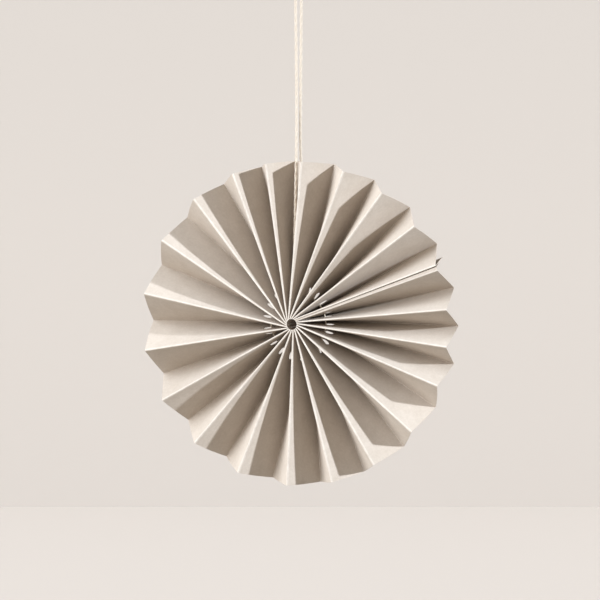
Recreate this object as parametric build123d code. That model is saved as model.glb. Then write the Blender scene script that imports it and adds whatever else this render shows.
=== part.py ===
from build123d import *
import math
import os

# Hanging paper fan rosette: a pleated card strip closed into a disc, drawn together by a string through
# its punched holes and hung on a loop of twine. The axis runs along Y, the front faces -Y, and the
# origin is where the loop rests on its hook.

# Card strip, in millimetres
card_thickness = 0.3
strip_width = 73.5           # cut width of the strip, which is the length of every fold
panel_depth = 19.05          # from one fold to the next
packing_gap = 0.075          # air between neighbouring layers where they crowd round the hub
ridge_fall = 0.7             # rim ends of the front folds lie this far behind the hub's front edge

# Each pleat's spread at the rim, clockwise from the closure, as shares of the whole ring
pleat_spread_shares = (
    14, 13, 14, 19, 18.5, 17, 17, 19, 19.5, 19.5, 19,
    20.5, 20.5, 19.5, 17.5, 13, 13.5, 16, 16, 16.5, 15.5,
)
closure_angle = 68.0         # degrees clockwise from the top, seen from the front
hub_lag_angle = 20.0         # degrees that the crowded hub ends stay behind the closure

# Closure, where the two ends of the strip lie side by side
seam_gap = 0.6               # at the rim
turned_edge = 1.5            # narrow front edge near the strip's start, at the rim
tuck_width = 5.5             # the strip's start, folded in until it rests beside the flap
flap_width = 15.1            # flap that ends the strip, folded in behind the last ridge
flap_lean = 3.2              # sideways lean of the flap's back edge, at the rim

# Punched holes and the string through them
punch_diameter = 4.7
punch_ring_radius = 15.5     # from the axis to the holes' centres
punch_overrun = 0.3
punch_land = 0.65            # flat of card round each hole
string_diameter = 0.8
string_clearance = 0.15
string_runs = 16             # straight runs of the string from hole to hole

# Hanging loop of twine and the knot that joins its ends
hang_height = 163.0          # from the hook down to the hub's centre
twine_diameter = 1.5
knot_diameter = 4.4
knot_rounding = 1.0
twine_route = (              # X, Y and height above the hub's centre, from the knot's underside to its top
    (2.4, 1.5, 46.0), (2.4, 1.5, 39.0), (-0.29, 0, 16.9), (-2.44, 0, 16.9),
    (-0.3, -2.1, 77.0), (-0.72, -0.25, 101.0), (-1.6, 0, 163.75), (1.6, 0, 163.75),
    (0.95, 0.4, 101.0), (0.85, 0.45, 77.0), (2.4, 1.5, 58.0), (2.4, 1.5, 51.0),
)

# Worked out from the sizes above
pleats = len(pleat_spread_shares)
panels = 2 * pleats + 1                             # the flap is the last one
slot = card_thickness + packing_gap                 # room of one layer at the hub
slots = panels + 1                                  # one slot stays open at the closure
hub_radius = slots * slot / math.tau
rim_radius = hub_radius + strip_width
crown = slot                                        # flat top of a fold
seam_width = crown + seam_gap + turned_edge
land_half = punch_diameter / 2 + punch_land         # half the side of the flat square round a hole

# Bands from hub to rim in which a panel twists: up to the holes, round them, and beyond
punch_share = (punch_ring_radius - hub_radius) / strip_width
punched_band_land_share = 2.5                       # half the punched band's length, as a share of its flat
punched_band_share = punched_band_land_share * land_half / strip_width
punched_band = 1
inner_band_shares = (0, punch_share - punched_band_share, punch_share + punched_band_share)
outer_steps = 4
outer_band_share = (1 - inner_band_shares[-1]) / outer_steps
band_shares = inner_band_shares + tuple(1 - outer_band_share * k for k in reversed(range(outer_steps)))


def corner_places():
    """Every corner of the folded card: its place round the hub, round the rim, and whether it is in front."""
    spread = (math.tau * rim_radius - seam_width) / sum(pleat_spread_shares)
    hub = slot / 2
    ridge = seam_gap / 2 + turned_edge
    corners = [(hub - slot, seam_gap / 2, True), (hub, ridge, True)]
    for share in pleat_spread_shares:
        half_pitch = share * spread / 2
        for in_front in (False, True):
            ridge += half_pitch
            corners.append((hub, ridge - crown / 2, in_front))
            hub += slot
            corners.append((hub, ridge + crown / 2, in_front))
    return corners


def card_line(share):
    """Middle of the card at a share of the way from hub to rim, unrolled into places round the axis and
    depths. The front folds lie in a shallow cone, and the back ones as deep as the panels' width reaches."""
    radius = hub_radius + share * strip_width
    front = ridge_fall * share - panel_depth / 2
    corners = corner_places()
    places = []
    for at_hub, at_rim, in_front in corners:
        rim_turn = at_rim / rim_radius
        hub_turn = at_hub / hub_radius - math.radians(hub_lag_angle)
        places.append(radius * rim_turn + hub_radius * (hub_turn - rim_turn) * (1 - share))
    lean = flap_lean * share
    tuck_end = places[-1] - math.tau * radius + slot - lean * tuck_width / flap_width
    line = [(tuck_end, front + math.sqrt(tuck_width**2 - (places[0] - tuck_end)**2))]
    for i, (at_hub, at_rim, in_front) in enumerate(corners):
        depth = front
        if not in_front:
            first = i if corners[i - 1][2] else i - 1
            run = (places[first] - places[first - 1] + places[first + 2] - places[first + 1]) / 2
            depth += math.sqrt(panel_depth**2 - run**2)
        line.append((places[i], depth))
    line.append((places[-1] - lean, front + math.sqrt(flap_width**2 - lean**2)))
    return line


def beside(line, distance):
    """The line moved sideways by a distance, with mitred corners."""
    normals = []
    for (s0, y0), (s1, y1) in zip(line, line[1:]):
        length = math.hypot(s1 - s0, y1 - y0)
        normals.append(((y0 - y1) / length, (s1 - s0) / length))
    moved = []
    for (s, y), before, after in zip(line, normals[:1] + normals, normals + normals[-1:]):
        stretch = distance / (1 + before[0] * after[0] + before[1] * after[1])
        moved.append((s + stretch * (before[0] + after[0]), y + stretch * (before[1] + after[1])))
    return moved


def rolled(line, share):
    """The unrolled line wrapped round the axis, clockwise from the closure, as points below the hook."""
    radius = hub_radius + share * strip_width
    points = []
    for s, y in line:
        angle = math.radians(closure_angle) + s / radius
        points.append(Vector(radius * math.sin(angle), y, radius * math.cos(angle) - hang_height))
    return points


def ruled_face(a, b, c, d):
    """Face ruled between the edges a-b and c-d."""
    return Face.make_bezier_surface([[a, b], [c, d]])


def flat_face(*corners):
    return Face(Wire.make_polygon(corners))


def fan_faces(outline):
    """Flat triangles from the middle of a twisted patch to its edges."""
    middle = sum(outline, Vector()) / len(outline)
    return [flat_face(a, b, middle) for a, b in zip(outline, outline[1:] + outline[:1])]


def frame_faces(outline, land):
    """A flat land and the triangles from its corners to the edges of the twisted patch round it."""
    faces = [flat_face(*land)]
    for a, b, p, q in zip(outline, outline[1:] + outline[:1], land, land[1:] + land[:1]):
        faces += [flat_face(a, b, p), flat_face(b, q, p)]
    return faces


def panel_middle(i, share):
    """Point of the panel between corners i and i + 1, half a panel's depth behind its front fold."""
    row = rolled(card_line(share), share)
    front, back = (row[i], row[i + 1]) if i % 4 == 2 else (row[i + 1], row[i])
    return front + (back - front).normalized() * (panel_depth / 2)


def punch_plane(i):
    """Plane of the flat land on a panel: X along the strip, Y towards the hub, Z out of the near side."""
    row = rolled(card_line(punch_share), punch_share)
    along = (row[i + 1] - row[i]).normalized()
    outward = panel_middle(i, inner_band_shares[-1]) - panel_middle(i, inner_band_shares[1])
    return Plane(origin=panel_middle(i, punch_share), x_dir=along, z_dir=outward.cross(along))


def land_corners(plane, height):
    """Corners of the flat land in the order of the patch round it."""
    signs = ((-1, 1), (1, 1), (1, -1), (-1, -1))
    return [plane.from_local_coords(Vector(x * land_half, y * land_half, height)) for x, y in signs]


def side_faces(rows, height, punches):
    """One side of the card, which lies at a height above its middle."""
    faces = []
    for band, (inner, outer) in enumerate(zip(rows, rows[1:])):
        for i in range(len(inner) - 1):
            outline = [inner[i], inner[i + 1], outer[i + 1], outer[i]]
            if i not in punches:
                faces.append(ruled_face(inner[i], inner[i + 1], outer[i], outer[i + 1]))
            elif band == punched_band:
                faces += frame_faces(outline, land_corners(punches[i], height))
            else:
                faces += fan_faces(outline)
    return faces


def make_pleated_card():
    half = card_thickness / 2
    near = [rolled(beside(card_line(share), half), share) for share in band_shares]
    far = [rolled(beside(card_line(share), -half), share) for share in band_shares]
    last = len(near[0]) - 1
    punches = {i: punch_plane(i) for i in range(2, last, 2)}
    faces = side_faces(near, half, punches) + side_faces(far, -half, punches)
    for a, b in ((near[0], far[0]), (near[-1], far[-1])):
        faces += [ruled_face(a[i], a[i + 1], b[i], b[i + 1]) for i in range(last)]
    for i in (0, last):
        edge = [(row_near[i], row_far[i]) for row_near, row_far in zip(near, far)]
        faces += [ruled_face(*inner, *outer) for inner, outer in zip(edge, edge[1:])]
    punch = Cylinder(punch_diameter / 2, card_thickness + 2 * punch_overrun)
    return Solid(Shell(faces)) - [plane * punch for plane in punches.values()]


def make_tie_string():
    inner = punch_ring_radius - punch_diameter / 2 + string_clearance + string_diameter / 2
    corner_radius = inner / math.cos(math.pi / string_runs)
    corners = []
    for k in range(string_runs):
        angle = math.tau * k / string_runs
        x = corner_radius * math.sin(angle)
        corners.append(Vector(x, 0, corner_radius * math.cos(angle) - hang_height))
    path = Polyline(*corners, close=True)
    section = Plane(origin=path @ 0, z_dir=path % 0) * Circle(string_diameter / 2)
    return sweep(section, path=path, transition=Transition.RIGHT)


def twine_path():
    points = [Vector(x, y, height - hang_height) for x, y, height in twine_route]
    run_share = 0.45
    radii = []
    for before, point, after in zip(points, points[1:], points[2:]):
        turn = math.radians((point - before).get_angle(after - point))
        shorter = min((point - before).length, (after - point).length)
        radii.append(run_share * shorter / math.tan(turn / 2))
    print("twine bend radii", [round(radius, 2) for radius in radii])
    return FilletPolyline(*points, radius=radii)


def make_hanging_cord():
    path = twine_path()
    section = Plane(origin=path @ 0, z_dir=path % 0) * Circle(twine_diameter / 2)
    tube = sweep(section, path=path)
    print("twine length", round(path.length, 2))
    print("tube volume share", tube.volume / (section.area * path.length))
    return tube


def make_cord_knot():
    x, y, bottom = twine_route[0]
    top = twine_route[-1][2]
    body = Cylinder(knot_diameter / 2, top - bottom, align=(Align.CENTER, Align.CENTER, Align.MIN))
    body = fillet(body.edges().filter_by(GeomType.CIRCLE), knot_rounding)
    return Pos(x, y, bottom - hang_height) * body


pieces = {
    "pleated_card": make_pleated_card(),
    "tie_string": make_tie_string(),
    "hanging_cord": make_hanging_cord(),
    "cord_knot": make_cord_knot(),
}
os.makedirs("parts", exist_ok=True)
for name, piece in pieces.items():
    export_step(piece, f"parts/{name}.step")
    print(name, "volume", round(piece.volume, 1))
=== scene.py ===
# %% [markdown]
# A hanging paper fan rosette. One long strip of thick uncoated card is pleated, punched, drawn together
# by a thread and hung on a doubled cotton twine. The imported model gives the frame: metres, +Z up, the
# front towards -Y, and the origin where the loop rests on its hook. Each piece below takes the place of
# one plain solid of that model.

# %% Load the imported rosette
import math
import random

import bpy
import bmesh
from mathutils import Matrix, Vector


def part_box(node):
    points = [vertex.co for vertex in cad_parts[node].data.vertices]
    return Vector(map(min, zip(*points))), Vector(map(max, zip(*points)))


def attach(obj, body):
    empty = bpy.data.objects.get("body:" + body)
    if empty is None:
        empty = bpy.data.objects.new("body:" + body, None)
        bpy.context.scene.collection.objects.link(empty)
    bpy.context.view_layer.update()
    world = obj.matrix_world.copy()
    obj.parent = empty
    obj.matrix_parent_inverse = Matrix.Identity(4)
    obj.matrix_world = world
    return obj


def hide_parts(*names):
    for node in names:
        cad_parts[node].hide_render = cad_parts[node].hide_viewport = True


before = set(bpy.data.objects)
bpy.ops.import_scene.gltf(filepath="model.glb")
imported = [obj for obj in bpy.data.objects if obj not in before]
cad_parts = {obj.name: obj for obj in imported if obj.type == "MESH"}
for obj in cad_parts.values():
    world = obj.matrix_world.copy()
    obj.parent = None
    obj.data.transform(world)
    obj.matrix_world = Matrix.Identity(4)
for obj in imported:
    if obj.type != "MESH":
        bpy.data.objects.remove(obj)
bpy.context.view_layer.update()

# %% [markdown]
# The sizes of the real rosette come first, because every piece is worked out from them. They are the
# sizes that the solids were made from: card of 0.3 mm, pleats three quarters of an inch deep, and a disc
# six inches across. The pleats aren't equal: the list gives each one's spread at the rim, in turn.

# %% Sizes of the rosette
mm = 0.001
hub_height = -163 * mm
card_thickness = 0.3 * mm
layer_pitch = 0.375 * mm
strip_width = 73.5 * mm
panel_depth = 19.05 * mm
ridge_fall = 0.7 * mm
pleat_spreads = (
    14, 13, 14, 19, 18.5, 17, 17, 19, 19.5, 19.5, 19,
    20.5, 20.5, 19.5, 17.5, 13, 13.5, 16, 16, 16.5, 15.5,
)
closure_angle = math.radians(68)
hub_lag = math.radians(20)
seam_gap = 0.6 * mm
turned_edge = 1.5 * mm
tuck_width = 5.5 * mm
flap_width = 15.1 * mm
flap_lean = 3.2 * mm
punch_radius = 2.35 * mm
punch_ring = 15.5 * mm

panels = 2 * len(pleat_spreads) + 1
hub_radius = (panels + 1) * layer_pitch / math.tau
rim_radius = hub_radius + strip_width
print("panels", panels, "hub radius", round(hub_radius / mm, 3), "rim radius", round(rim_radius / mm, 2))

# %% [markdown]
# The camera stands about where the photograph was taken from: to the right of the fan's axis, slightly
# above it, with a long lens from about 1.4 m away. A camera could be aimed with a Track To constraint, but
# a fixed turn worked out from the line of sight is simpler and stays as it is.

# %% Camera
camera_yaw = math.radians(20.28)
camera_rise = math.radians(4.24)
camera_distance = 1412 * mm
camera_angle = math.radians(11.42)
aim_right, aim_up = 0.7 * mm, 10.8 * mm

sight = Vector((
    math.sin(camera_yaw) * math.cos(camera_rise),
    -math.cos(camera_yaw) * math.cos(camera_rise),
    math.sin(camera_rise),
))
view_right = Vector((0, 0, 1)).cross(sight).normalized()
view_up = sight.cross(view_right)
aim = Vector((0, 0, hub_height)) + aim_right * view_right + aim_up * view_up
bpy.ops.object.camera_add(location=aim + camera_distance * sight)
camera = bpy.context.object
camera.name = "photo_camera"
camera.rotation_euler = (-sight).to_track_quat("-Z", "Y").to_euler()
camera.data.angle = camera_angle
bpy.context.scene.camera = camera
print("camera at", [round(x, 3) for x in camera.location])

# %% [markdown]
# The twine is soft two-ply cotton, 1.5 mm thick. It hangs from a hook just above the picture, runs down
# both sides of one panel and passes through that panel's punched hole, so it is one loop, tied behind
# the topmost ridge. A curve with a round bevel would look like plastic tube. Here the route is a smooth
# NURBS line, and two plies are wound round points that are read back from it.

# %% Route of the twine
twine_diameter = 1.5 * mm
ring_step = 0.4 * mm               # between the rings of vertices along a cord
twine_route = (                    # X, Y and height above the hub's centre, in millimetres
    (2.4, 1.5, 46.0), (2.4, 1.5, 39.0), (0.8, 0.6, 26.0), (-0.29, 0, 16.9), (-2.44, 0, 16.9),
    (-2.12, -0.32, 26.0), (-0.3, -2.1, 77.0), (-0.72, -0.25, 101.0), (-1.47, -0.04, 154.5),
    (-1.6, 0, 163.75), (1.6, 0, 163.75), (1.5, 0.06, 154.5), (0.95, 0.4, 101.0),
    (0.85, 0.45, 77.0), (2.4, 1.5, 58.0), (2.4, 1.5, 51.0),
)


def smooth_line(name, points, closed=False):
    """Points along a NURBS line that follows the given points."""
    curve = bpy.data.curves.new(name, "CURVE")
    curve.dimensions = "3D"
    spline = curve.splines.new("NURBS")
    spline.points.add(len(points) - 1)
    for control, point in zip(spline.points, points):
        control.co = (*point, 1)
    spline.order_u = 3
    spline.use_endpoint_u = not closed
    spline.use_cyclic_u = closed
    spline.resolution_u = 40
    carrier = bpy.data.objects.new(name, curve)
    bpy.context.scene.collection.objects.link(carrier)
    mesh = bpy.data.meshes.new_from_object(carrier)
    line = [vertex.co.copy() for vertex in mesh.vertices]
    bpy.data.objects.remove(carrier)
    bpy.data.meshes.remove(mesh)
    return line + line[:1] if closed else line


def even_steps(line, step):
    """The same line in equal steps of about the given length."""
    lengths = [0]
    for a, b in zip(line, line[1:]):
        lengths.append(lengths[-1] + (b - a).length)
    count = max(2, round(lengths[-1] / step))
    even = []
    k = 0
    for i in range(count + 1):
        wanted = lengths[-1] * i / count
        while k < len(line) - 2 and lengths[k + 1] < wanted:
            k += 1
        span = lengths[k + 1] - lengths[k]
        even.append(line[k].lerp(line[k + 1], (wanted - lengths[k]) / span if span else 0))
    return even, lengths[-1]


twine_points = [Vector((x * mm, y * mm, z * mm + hub_height)) for x, y, z in twine_route]
twine_line, twine_length = even_steps(smooth_line("twine_route", twine_points), ring_step)
print("twine length in millimetres", round(twine_length / mm, 1))

# %% [markdown]
# A ply is a tube that winds round the route. Its rings of vertices are placed on a frame that is carried
# along the line without twisting, so the wind stays even through the bends. The UV map runs along the ply
# and round it, and the spun fibres in the material follow that map.

# %% Winding plies round a line
def carried_frames(line):
    """Two directions across the line at each of its points, carried along without twist."""
    frames = []
    across = None
    for i in range(len(line)):
        ahead = (line[min(i + 1, len(line) - 1)] - line[max(i - 1, 0)]).normalized()
        if across is None:
            across = ahead.orthogonal().normalized()
        across = (across - ahead * across.dot(ahead)).normalized()
        frames.append((across, ahead.cross(across)))
    return frames


def wind_plies(name, line, plies, ply_radius, wind_radius, lay_length, sides=8):
    """A cord of several plies wound round a line, as one mesh."""
    frames = carried_frames(line)
    step = (line[1] - line[0]).length
    verts, faces, uvs = [], [], []
    for ply in range(plies):
        centres = []
        for i, (point, (a, b)) in enumerate(zip(line, frames)):
            turn = math.tau * (i * step / lay_length + ply / plies)
            centres.append(point + wind_radius * (math.cos(turn) * a + math.sin(turn) * b))
        start = len(verts)
        for centre, (a, b) in zip(centres, carried_frames(centres)):
            for side in range(sides):
                angle = math.tau * side / sides
                verts.append(centre + ply_radius * (math.cos(angle) * a + math.sin(angle) * b))
        for i in range(len(line) - 1):
            for side in range(sides):
                after = (side + 1) % sides
                low, high = start + i * sides, start + (i + 1) * sides
                faces.append((low + side, low + after, high + after, high + side))
                u0, u1 = i * step, (i + 1) * step
                v0, v1 = side / sides, (side + 1) / sides
                uvs.append(((u0, v0), (u0, v1), (u1, v1), (u1, v0)))
        for ring in (start, start + (len(line) - 1) * sides):
            cap = tuple(range(ring, ring + sides))
            faces.append(cap[::-1] if ring == start else cap)
            uvs.append(tuple((0, side / sides) for side in range(sides)))
    mesh = bpy.data.meshes.new(name)
    mesh.from_pydata(verts, [], faces)
    layer = mesh.uv_layers.new(name="along_ply")
    for polygon, corners in zip(mesh.polygons, uvs):
        for loop, uv in zip(polygon.loop_indices, corners):
            layer.data[loop].uv = uv
    mesh.shade_smooth()
    piece = bpy.data.objects.new(name, mesh)
    bpy.context.scene.collection.objects.link(piece)
    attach(piece, "root")
    print(name, "faces", len(mesh.polygons))
    return piece


twine_plies = 2
ply_radius, wind_radius, lay_length = 0.54 * mm, 0.2 * mm, 8.5 * mm
twine = wind_plies("twine_loop", twine_line, twine_plies, ply_radius, wind_radius, lay_length)
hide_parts("hanging_cord")

# %% [markdown]
# The knot joins the twine's two ends inside the fold behind the topmost ridge, where only the back shows
# it. Three turns are wrapped round the ends and drawn tight, so the knot is a short barrel. It could be a
# bent torus, but the same winding of plies along a small coil gives the right lay.

# %% Knot
knot_low, knot_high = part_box("cord_knot")
knot_centre = (knot_low + knot_high) / 2
knot_turns = 3
turn_steps = 12
knot_step = 0.3 * mm
tail_rise = 1.2 * mm               # the end inside the coil reaches this far above the knot's middle
coil_radius = (knot_high.x - knot_low.x - twine_diameter) / 2
coil_pitch = 1.25 * mm
coil_route = [Vector((knot_centre.x, knot_centre.y, knot_low.z))]
coil_route.append(Vector((knot_centre.x, knot_centre.y, knot_centre.z + tail_rise)))
for k in range(turn_steps * knot_turns + 1):
    turn = math.tau * k / turn_steps
    height = knot_centre.z + coil_pitch * (knot_turns / 2 - k / turn_steps)
    height = min(height, knot_high.z - twine_diameter / 2)
    offset = Vector((math.cos(turn), math.sin(turn), 0)) * coil_radius
    coil_route.append(Vector((knot_centre.x, knot_centre.y, height)) + offset)
coil_line, coil_length = even_steps(smooth_line("knot_route", coil_route), knot_step)
knot = wind_plies("twine_knot", coil_line, twine_plies, ply_radius, wind_radius, lay_length)
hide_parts("cord_knot")
print("knot coil in millimetres", round(coil_length / mm, 1))

# %% [markdown]
# A thread runs through all the punched holes and holds the folds together round the hub. It is thin and
# mostly hidden, so three plies wound round a closed line are enough.

# %% Thread through the holes
thread_diameter = 0.8 * mm
thread_runs = 16
thread_twists = 30
thread_plies = 3
thread_ply, thread_wind = 0.2 * mm, 0.2 * mm
thread_low, thread_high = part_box("tie_string")
thread_ring = (thread_high.x - thread_low.x - thread_diameter) / 2
thread_corners = []
for k in range(thread_runs):
    turn = math.tau * k / thread_runs
    corner = Vector((math.sin(turn), 0, math.cos(turn))) * thread_ring
    thread_corners.append(corner + Vector((0, 0, hub_height)))
thread_route = smooth_line("thread_route", thread_corners, closed=True)
thread_line, thread_length = even_steps(thread_route, ring_step)
thread_lay = thread_length / thread_twists
thread = wind_plies("tie_thread", thread_line, thread_plies, thread_ply, thread_wind, thread_lay, sides=6)
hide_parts("tie_string")
print("thread length in millimetres", round(thread_length / mm, 1))

# %% [markdown]
# The card starts as the maker starts it: flat. One panel of the strip is a grid whose columns crowd at
# the two creases, where the card will bend. The whole strip could be one long grid, but then each hole
# would have to be made by itself.

# %% One flat panel
bend = layer_pitch / 2                     # half width of a fold that is pressed flat
bend_length = bend * math.pi / 2           # card in half a fold
panel_pitch = panel_depth - 2 * bend + 2 * bend_length
block = 3.2 * mm                           # half the square of faces that is taken out for the hole
hole_across = panel_pitch / 2
hole_along = punch_ring - hub_radius
crease_cuts, side_cuts, hole_cuts, hub_cuts, outer_cuts = 3, 3, 6, 4, 24


def steps(start, end, count):
    """Evenly spaced places after start, up to end."""
    return [start + (end - start) * k / count for k in range(1, count + 1)]


columns = [0] + steps(0, bend_length, crease_cuts)
columns += steps(bend_length, hole_across - block, side_cuts)
columns += steps(hole_across - block, hole_across + block, hole_cuts)
columns += steps(hole_across + block, panel_pitch - bend_length, side_cuts)
columns += steps(panel_pitch - bend_length, panel_pitch, crease_cuts)
rows = [0] + steps(0, hole_along - block, hub_cuts)
rows += steps(hole_along - block, hole_along + block, hole_cuts)
rows += steps(hole_along + block, strip_width, outer_cuts)

bpy.ops.object.select_all(action="DESELECT")
bpy.ops.mesh.primitive_grid_add(x_subdivisions=len(columns) - 1, y_subdivisions=len(rows) - 1, size=1)
card = bpy.context.object
card.name = "pleated_paper"
for vertex in card.data.vertices:
    column = round((vertex.co.x + 0.5) * (len(columns) - 1))
    row = round((vertex.co.y + 0.5) * (len(rows) - 1))
    vertex.co = (columns[column], rows[row], 0)
print("flat panel", len(card.data.polygons), "faces, pitch in millimetres", round(panel_pitch / mm, 3))

# %% [markdown]
# The hole is punched while the panel is flat. A Boolean could cut it, but it leaves long thin faces round
# the cut. Here a square of faces is deleted, and the gap's edge is extruded and drawn into a circle.

# %% The punched hole
pick_room = 0.1 * mm                       # slack when vertices are picked by their place


def in_block(point, room):
    """Whether a point lies in the square round the hole, or within some room of it."""
    return abs(point.x - hole_across) < block + room and abs(point.y - hole_along) < block + room


bpy.ops.object.mode_set(mode="EDIT")
bpy.ops.mesh.select_mode(type="FACE")
bpy.ops.mesh.select_all(action="DESELECT")
grid = bmesh.from_edit_mesh(card.data)
for face in grid.faces:
    face.select_set(in_block(face.calc_center_median(), 0))
bpy.ops.mesh.delete(type="FACE")
bpy.ops.mesh.select_mode(type="EDGE")
grid = bmesh.from_edit_mesh(card.data)
for edge in grid.edges:
    edge.select_set(edge.is_boundary and all(in_block(vertex.co, pick_room) for vertex in edge.verts))
bpy.ops.mesh.extrude_edges_move()
grid = bmesh.from_edit_mesh(card.data)
hole_centre = Vector((hole_across, hole_along, 0))
for vertex in grid.verts:
    if vertex.select:
        vertex.co = hole_centre + (vertex.co - hole_centre).normalized() * punch_radius
bmesh.update_edit_mesh(card.data)
bpy.ops.mesh.select_all(action="SELECT")
bpy.ops.mesh.normals_make_consistent(inside=False)
bpy.ops.object.mode_set(mode="OBJECT")
print("punched panel", len(card.data.polygons), "faces")

# %% [markdown]
# An Array repeats the panel along the strip, and then the two ends are finished: the last panel is cut
# short into a flap, and the start gets a narrow front edge and a tuck that is folded in beside that flap.
# The UV map is taken here, while the strip is flat, so that one unit of it is one metre of card.

# %% The flat strip
same_place = 0.01 * mm                     # vertices closer than this are one
array = card.modifiers.new("panels", "ARRAY")
array.count = panels
array.use_relative_offset = False
array.use_constant_offset = True
array.constant_offset_displace = (panel_pitch, 0, 0)
array.use_merge_vertices = True
array.merge_threshold = same_place
bpy.ops.object.modifier_apply(modifier=array.name)
strip_end = (panels - 1) * panel_pitch + bend_length + flap_width - bend
bpy.ops.object.mode_set(mode="EDIT")
bpy.ops.mesh.select_all(action="SELECT")
bpy.ops.mesh.bisect(plane_co=(strip_end, 0, 0), plane_no=(1, 0, 0), clear_outer=True)
bpy.ops.mesh.select_all(action="DESELECT")
bpy.ops.mesh.select_mode(type="EDGE")
grid = bmesh.from_edit_mesh(card.data)
for edge in grid.edges:
    edge.select_set(all(vertex.co.x < same_place for vertex in edge.verts))
for length in (turned_edge, tuck_width / 2, tuck_width / 2):
    bpy.ops.mesh.extrude_region_move(TRANSFORM_OT_translate={"value": (-length, 0, 0)})
bpy.ops.object.mode_set(mode="OBJECT")
strip_map = card.data.uv_layers.active or card.data.uv_layers.new(name="strip")
strip_map.name = "strip"
for loop in card.data.loops:
    strip_map.data[loop.index].uv = card.data.vertices[loop.vertex_index].co.xy
strip_length = tuck_width + turned_edge + strip_end
print("flat strip in millimetres", round(strip_length / mm, 1), "by", round(strip_width / mm, 1))

# %% [markdown]
# Folding moves each vertex from its place on the flat strip to its place on the rosette. At the hub all
# panels stand side by side, one layer apart. At the rim they spread as the list of pleats says. The front
# folds lie in a shallow cone, and the back folds are as deep as the panels' width lets them be. A cloth
# simulation could fold the strip, but places that are worked out keep every crease straight.

# %% Places of the folds
spread = (math.tau * rim_radius - layer_pitch - seam_gap - turned_edge) / sum(pleat_spreads)
fold_places = [seam_gap / 2 + turned_edge]
for share in pleat_spreads:
    fold_places += [fold_places[-1] + share * spread / 2, fold_places[-1] + share * spread]
fold_places[0] -= bend


def round_place(at_hub, at_rim, share):
    """Unrolled place round the axis of a line from the hub to the rim."""
    rim_turn = at_rim / rim_radius
    hub_turn = at_hub / hub_radius - hub_lag
    return rim_turn * (hub_radius + share * strip_width) + hub_radius * (hub_turn - rim_turn) * (1 - share)


def panel_ends(panel, share):
    """Unrolled places of a panel's two creases."""
    at_hub = (panel + 0.5) * layer_pitch
    start = round_place(at_hub, fold_places[panel] + bend, share)
    if panel == panels - 1:
        return start, start - flap_lean * share
    return start, round_place(at_hub, fold_places[panel + 1] - bend, share)


def fold_depth(fold, share):
    """Depth of a fold, or of the flap's free edge, at a share of the way from hub to rim."""
    front = ridge_fall * share - panel_depth / 2
    if fold == panels:
        lean = flap_lean * share
        return front + math.sqrt(flap_width**2 - lean**2)
    if fold % 2 == 0:
        return front
    run = 0
    for panel in (fold - 1, fold):
        start, end = panel_ends(panel, share)
        run += (end - start) / 2
    return front + math.sqrt(panel_depth**2 - run**2)


panel_lines = {}


def panel_line(panel, share):
    """The two corners of a panel's section, unrolled, and the direction between them."""
    key = (panel, round(share, 6))
    if key not in panel_lines:
        start, end = panel_ends(panel, share)
        a = Vector((start, fold_depth(panel, share)))
        b = Vector((end, fold_depth(panel + 1, share)))
        panel_lines[key] = (a, b, (b - a).normalized())
    return panel_lines[key]


print("folds", len(fold_places), "depth of the first valley at the rim", round(fold_depth(1, 1) / mm, 2))

# %% [markdown]
# Card never folds to a knife edge, so a crease is a small Bezier bend between two panels. A Bevel could
# round a sharp fold, but it would cut card away instead of bending it. At the closure, the front edge and
# the tuck at the strip's start are straight in section, so their ends are enough.

# %% Creases and the closure
def crease_point(fold, share, t):
    """Point of the bend between the panels before and after a fold."""
    if fold == 0:
        b, _, after = panel_line(0, share)
        a, before = b, Vector((1, 0))
    else:
        _, a, before = panel_line(fold - 1, share)
        b, _, after = panel_line(fold, share)
    points = (a - bend * before, a + bend / 3 * before, b - bend / 3 * after, b + bend * after)
    weights = ((1 - t)**3, 3 * t * (1 - t)**2, 3 * t**2 * (1 - t), t**3)
    return sum((w * p for w, p in zip(weights, points)), Vector((0, 0)))


def seam_corners(share):
    """Unrolled ends of the narrow front edge at the strip's start and of the tuck behind it."""
    front = fold_depth(0, share)
    edge = round_place(-layer_pitch / 2, seam_gap / 2, share)
    flap, _ = panel_ends(panels - 1, share)
    beside_flap = flap + layer_pitch - math.tau * (hub_radius + share * strip_width)
    tuck = beside_flap - flap_lean * share * tuck_width / flap_width
    depth = math.sqrt(tuck_width**2 - (edge - tuck)**2)
    return Vector((edge, front)), Vector((tuck, front + depth))


print("half width of a fold at the hub, in millimetres", round(bend / mm, 4))

# %% [markdown]
# Now every vertex is moved. Panels aren't quite flat, so each one bows by an amount of its own. The
# amounts are drawn with a fixed seed, which makes them the same in every run.

# %% Folding the strip
rng = random.Random(21)
largest_bow = 0.22                         # in millimetres
bows = [rng.uniform(-largest_bow, largest_bow) * mm for panel in range(panels)]
hair = 1e-6                                # slack for rounding


def folded(along, outward):
    """Place on the rosette of a point of the flat strip."""
    share = outward / strip_width
    panel = min(max(int(along / panel_pitch + hair), 0), panels - 1)
    within = along - panel * panel_pitch
    if along < 0:
        edge, tuck = seam_corners(share)
        if along > -turned_edge - hair:
            point = crease_point(0, share, 0.5).lerp(edge, -along / turned_edge)
        else:
            point = edge.lerp(tuck, (-along - turned_edge) / tuck_width)
    elif within < bend_length:
        point = crease_point(panel, share, 0.5 + within / bend_length / 2)
    elif within > panel_pitch - bend_length:
        point = crease_point(panel + 1, share, (within - panel_pitch + bend_length) / bend_length / 2)
    else:
        a, b, direction = panel_line(panel, share)
        inner = panel_depth - 2 * bend
        reach = (b - a).length - 2 * bend if panel < panels - 1 else inner
        w = (within - bend_length) / inner
        point = a + (bend + w * reach) * direction
        bow = bows[panel] * math.sin(math.pi * w) * share
        point += bow * Vector((-direction.y, direction.x))
    radius = hub_radius + outward
    angle = closure_angle + point.x / radius
    return Vector((radius * math.sin(angle), point.y, radius * math.cos(angle) + hub_height))


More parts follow.
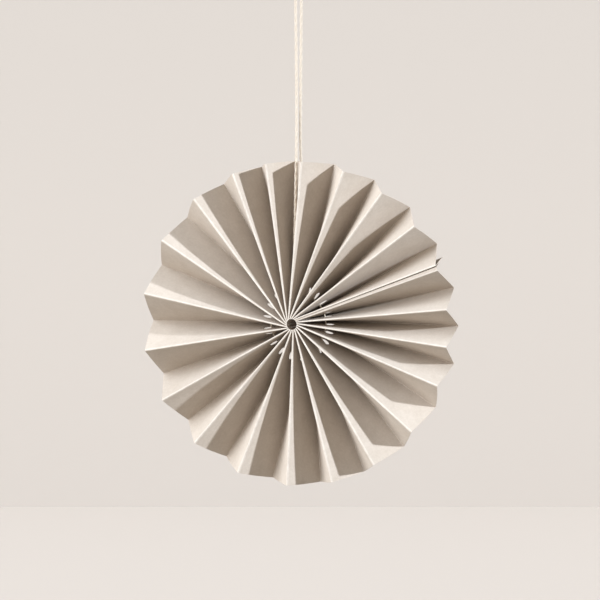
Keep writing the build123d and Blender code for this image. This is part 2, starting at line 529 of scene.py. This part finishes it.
for vertex in card.data.vertices:
    vertex.co = folded(vertex.co.x, vertex.co.y)
print("folded sheet", len(card.data.vertices), "vertices")

# %% [markdown]
# The sheet still has no thickness. Extruding it along its normals would thin it at the creases, while
# Solidify with even offset keeps the card's thickness there, half of it to each side. Weighted normals then
# keep the panels flat to the eye beside their round creases.

# %% Thickness of the card
sharp_angle = math.radians(45)
solid = card.modifiers.new("card_thickness", "SOLIDIFY")
solid.thickness = card_thickness
solid.offset = 0
solid.use_even_offset = True
bpy.ops.object.select_all(action="DESELECT")
card.select_set(True)
bpy.context.view_layer.objects.active = card
bpy.ops.object.modifier_apply(modifier=solid.name)
bpy.ops.object.shade_smooth_by_angle(angle=sharp_angle)
weigh = card.modifiers.new("flat_panels", "WEIGHTED_NORMAL")
weigh.keep_sharp = True
bpy.ops.object.modifier_apply(modifier=weigh.name)
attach(card, "root")
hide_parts("pleated_card")
print("folded card", len(card.data.polygons), "faces")

# %% [markdown]
# Materials. One function turns a written sRGB colour into the linear one that shaders use, and one adds a
# node with its settings and links.

# %% Helpers for materials
def linear(colour):
    """Linear RGBA of an sRGB hex colour."""
    parts = [int(colour[i:i + 2], 16) / 255 for i in (1, 3, 5)]
    return [c / 12.92 if c <= 0.04045 else ((c + 0.055) / 1.055)**2.4 for c in parts] + [1]


def add_node(tree, kind, values=None, links=None, **settings):
    """A node with its settings, its sockets' values and what is linked into it."""
    made = tree.nodes.new(kind)
    for name, value in settings.items():
        setattr(made, name, value)
    for name, value in (values or {}).items():
        made.inputs[name].default_value = value
    for name, socket in (links or {}).items():
        tree.links.new(socket, made.inputs[name])
    return made


def new_material(name):
    material = bpy.data.materials.new(name)
    material.use_nodes = True
    return material, material.node_tree, material.node_tree.nodes["Principled BSDF"]


print("mid grey in linear light", round(linear("#808080")[0], 3))

# %% [markdown]
# The card is thick uncoated paper in a warm stone tone, calendered but not glazed: matte, with a faint
# cloudy formation of fibres a few millimetres wide and a fine tooth. Where it was creased to the front,
# the fibres opened and the fold line is a little lighter. The cloud and the tooth read Object coordinates,
# which need no map. The fold lines belong to the strip, so they follow its UV map.

# %% Uncoated card
card_dark, card_light, card_worn = "#B4A799", "#C2B6A9", "#DDD4C9"
cloud_size, mottle_size, crumple_size = 7 * mm, 1.1 * mm, 2.5 * mm
worn_reach = 0.9 * mm                      # from a front fold to where its wear ends
tooth_size, tooth_height = 0.6 * mm, 0.06 * mm    # drawn coarser than real tooth, so that it shows
paper, tree, shader = new_material("uncoated_stone_card")
place = add_node(tree, "ShaderNodeTexCoord")
cloud = add_node(tree, "ShaderNodeTexNoise", {"Scale": 1 / cloud_size, "Detail": 5, "Roughness": 0.6},
                 {"Vector": place.outputs["Object"]})
mottle = add_node(tree, "ShaderNodeTexNoise", {"Scale": 1 / mottle_size, "Detail": 2, "Roughness": 0.6},
                  {"Vector": place.outputs["Object"]})
formation = add_node(tree, "ShaderNodeMix", {"Factor": 0.45},
                     {2: cloud.outputs["Fac"], 3: mottle.outputs["Fac"]}, data_type="FLOAT")
tone = add_node(tree, "ShaderNodeValToRGB", links={"Fac": formation.outputs[0]})
tone.color_ramp.elements[0].position = 0.3
tone.color_ramp.elements[0].color = linear(card_dark)
tone.color_ramp.elements[1].position = 0.7
tone.color_ramp.elements[1].color = linear(card_light)
strip_uv = add_node(tree, "ShaderNodeUVMap", uv_map="strip")
split = add_node(tree, "ShaderNodeSeparateXYZ", links={"Vector": strip_uv.outputs["UV"]})
nearest = add_node(tree, "ShaderNodeMath", {1: panel_pitch}, {0: split.outputs["X"]}, operation="PINGPONG")
crumple = add_node(tree, "ShaderNodeTexNoise", {"Scale": 1 / crumple_size, "Detail": 3},
                   {"Vector": place.outputs["Object"]})
worn = add_node(tree, "ShaderNodeMapRange",
                {"From Min": 0, "From Max": worn_reach, "To Min": 1, "To Max": 0},
                {"Value": nearest.outputs[0]}, interpolation_type="SMOOTHSTEP")
patchy = add_node(tree, "ShaderNodeMath", links={0: worn.outputs["Result"], 1: crumple.outputs["Fac"]},
                  operation="MULTIPLY")
colour = add_node(tree, "ShaderNodeMix", links={"Factor": patchy.outputs[0], 6: tone.outputs["Color"]},
                  data_type="RGBA")
colour.inputs[7].default_value = linear(card_worn)
tree.links.new(colour.outputs[2], shader.inputs["Base Color"])
tooth = add_node(tree, "ShaderNodeTexNoise", {"Scale": 1 / tooth_size, "Detail": 4, "Roughness": 0.65},
                 {"Vector": place.outputs["Object"]})
relief = add_node(tree, "ShaderNodeBump", {"Strength": 0.35, "Distance": tooth_height},
                  {"Height": tooth.outputs["Fac"]})
tree.links.new(relief.outputs["Normal"], shader.inputs["Normal"])
shader.inputs["Roughness"].default_value = 0.92
shader.inputs["Specular IOR Level"].default_value = 0.25
card.data.materials.append(paper)
print("card material", len(tree.nodes), "nodes")

# %% [markdown]
# The twine and the thread are spun cotton, ivory, with tan between the fibres: partly the yarn's own
# darker fibres, partly painted shade in the grooves between them. The fine lines wind round each ply as
# the yarn's fibres do, so they follow its UV map. Real fibres are far finer than a pixel, so a few drawn
# lines and some fuzz stand for them.

# %% Cotton
fibre_lines = 5                            # round each ply: real yarn has many more, too fine to show
twine_slant, thread_slant = 2.4 * mm, 1.2 * mm    # along a ply while a fibre goes once round it
fuzz_size, fuzz_height = 0.35 * mm, 0.08 * mm     # drawn coarser than real fibres


def cotton(name, light, tan_and_groove_shade, fibre_slant):
    """Spun cotton: fibres slant round each ply with painted shade between them, and fuzz lies over them."""
    made, tree, shader = new_material(name)
    ply_uv = add_node(tree, "ShaderNodeUVMap", uv_map="along_ply")
    split = add_node(tree, "ShaderNodeSeparateXYZ", links={"Vector": ply_uv.outputs["UV"]})
    wound = add_node(tree, "ShaderNodeMath", {1: 1 / fibre_slant},
                     {0: split.outputs["X"], 2: split.outputs["Y"]}, operation="MULTIPLY_ADD")
    lines = add_node(tree, "ShaderNodeMath", {1: fibre_lines * math.tau}, {0: wound.outputs[0]},
                     operation="MULTIPLY")
    wave = add_node(tree, "ShaderNodeMath", links={0: lines.outputs[0]}, operation="SINE")
    place = add_node(tree, "ShaderNodeTexCoord")
    fuzz = add_node(tree, "ShaderNodeTexNoise", {"Scale": 1 / fuzz_size, "Detail": 3},
                    {"Vector": place.outputs["Object"]})
    mixed = add_node(tree, "ShaderNodeMath", {1: 0.2}, {0: wave.outputs[0], 2: fuzz.outputs["Fac"]},
                     operation="MULTIPLY_ADD")
    tone = add_node(tree, "ShaderNodeValToRGB", links={"Fac": mixed.outputs[0]})
    # this first stop is painted shade in the grooves between fibres, mixed with the yarn's own tan
    tone.color_ramp.elements[0].position = 0.2
    tone.color_ramp.elements[0].color = linear(tan_and_groove_shade)
    tone.color_ramp.elements[1].position = 0.65
    tone.color_ramp.elements[1].color = linear(light)
    tree.links.new(tone.outputs["Color"], shader.inputs["Base Color"])
    relief = add_node(tree, "ShaderNodeBump", {"Strength": 0.5, "Distance": fuzz_height},
                      {"Height": mixed.outputs[0]})
    tree.links.new(relief.outputs["Normal"], shader.inputs["Normal"])
    shader.inputs["Roughness"].default_value = 0.95
    shader.inputs["Specular IOR Level"].default_value = 0.2
    return made


# the second colour of each cotton is painted shade between the fibres, mixed with the tan of darker fibres
twine_cotton = cotton("two_ply_cotton_twine", "#D8CEC1", "#B5A28A", twine_slant)
for piece in (twine, knot):
    piece.data.materials.append(twine_cotton)
thread.data.materials.append(cotton("cotton_thread", "#DDD3C5", "#BBAA90", thread_slant))
print("materials", [material.name for material in (paper, twine_cotton, thread.data.materials[0])])

# %% [markdown]
# The stage is a plain pale floor and a plain wall behind it, so that the picture has the photograph's calm
# background. Two planes would do, but one plane whose far edge is extruded upwards leaves no gap. It stands
# well behind the rosette: a floor right under it would throw light up into the folds that are in shade, and
# a wall close by would hide it from behind. Neither belongs to it.

# %% Floor and wall
floor_drop = 375 * mm
wall_gap = 2000 * mm
floor_reach = 660 * mm
stage_half, wall_height = 3.0, 3.0
away = Vector((-sight.x, -sight.y, 0)).normalized()
foot = Vector((0, 0, hub_height - floor_drop)) + away * wall_gap
bpy.ops.object.select_all(action="DESELECT")
bpy.ops.mesh.primitive_plane_add(size=2 * stage_half)
stage = bpy.context.object
stage.name = "pale_floor_and_wall"
for vertex in stage.data.vertices:
    reach = floor_reach if vertex.co.y < 0 else 0
    vertex.co = foot - away * reach + view_right * vertex.co.x
bpy.ops.object.mode_set(mode="EDIT")
bpy.ops.mesh.select_all(action="DESELECT")
bpy.ops.mesh.select_mode(type="EDGE")
sheet = bmesh.from_edit_mesh(stage.data)
for edge in sheet.edges:
    edge.select_set(all((vertex.co - foot).dot(away) > -pick_room for vertex in edge.verts))
bpy.ops.mesh.extrude_region_move(TRANSFORM_OT_translate={"value": (0, 0, wall_height)})
bpy.ops.object.mode_set(mode="OBJECT")
for side, (name, colour) in enumerate((("pale_floor", "#BDB3A9"), ("pale_wall", "#B6ADA4"))):
    ground, _, shader = new_material(name)
    shader.inputs["Base Color"].default_value = linear(colour)
    shader.inputs["Roughness"].default_value = 0.9
    shader.inputs["Specular IOR Level"].default_value = 0.2
    stage.data.materials.append(ground)
    stage.data.polygons[side].material_index = side
print("stage faces", len(stage.data.polygons))

# %% [markdown]
# A low sun on the right, nearly side-on, draws the pleats' slanting shadows. Wide soft lights on the left
# and a weak one in front fill the walls that face away from it, and a dim, even surround lights the back. A
# sun lamp with a wide angle is as soft as a big diffuser and needs no aiming at a place, only a direction.

# %% Light
lamps = (                          # name, direction of travel, angle in degrees, strength, colour
    ("low_sun", (-0.928, 0.19, -0.32), 3, 4.5, "#E7F2FF"),
    ("upper_left_diffuser", (0.6, 0.5, -0.6), 50, 4.1, "#E7F2FF"),
    ("left_diffuser", (0.8, 0.6, 0.0), 50, 1.4, "#FFFFFF"),
    ("front_diffuser", (0.0, 1.0, 0.0), 50, 0.6, "#FFFAF4"),
)
lamp_place = (0, -0.6, 0)          # in front of the rosette; a sun lamp lights the same from anywhere
for name, travel, angle, strength, colour in lamps:
    bpy.ops.object.light_add(type="SUN", location=lamp_place)
    lamp = bpy.context.object
    lamp.name = name
    lamp.rotation_euler = Vector(travel).to_track_quat("-Z", "Y").to_euler()
    lamp.data.angle = math.radians(angle)
    lamp.data.energy = strength
    lamp.data.color = linear(colour)[:3]
shading = bpy.data.collections.new("pieces_that_shade")
for piece in (card, thread, knot, stage):  # not the twine: the photograph shows no shadow of it on the card
    shading.objects.link(piece)
bpy.data.objects["low_sun"].light_linking.blocker_collection = shading
surround_colour, surround_strength = "#F4EFE8", 0.45
world = bpy.data.worlds.new("dim_room")
world.use_nodes = True
world.node_tree.nodes["Background"].inputs["Color"].default_value = linear(surround_colour)
world.node_tree.nodes["Background"].inputs["Strength"].default_value = surround_strength
bpy.context.scene.world = world
bpy.context.scene.view_settings.view_transform = "Standard"
print("lamps", len(lamps))
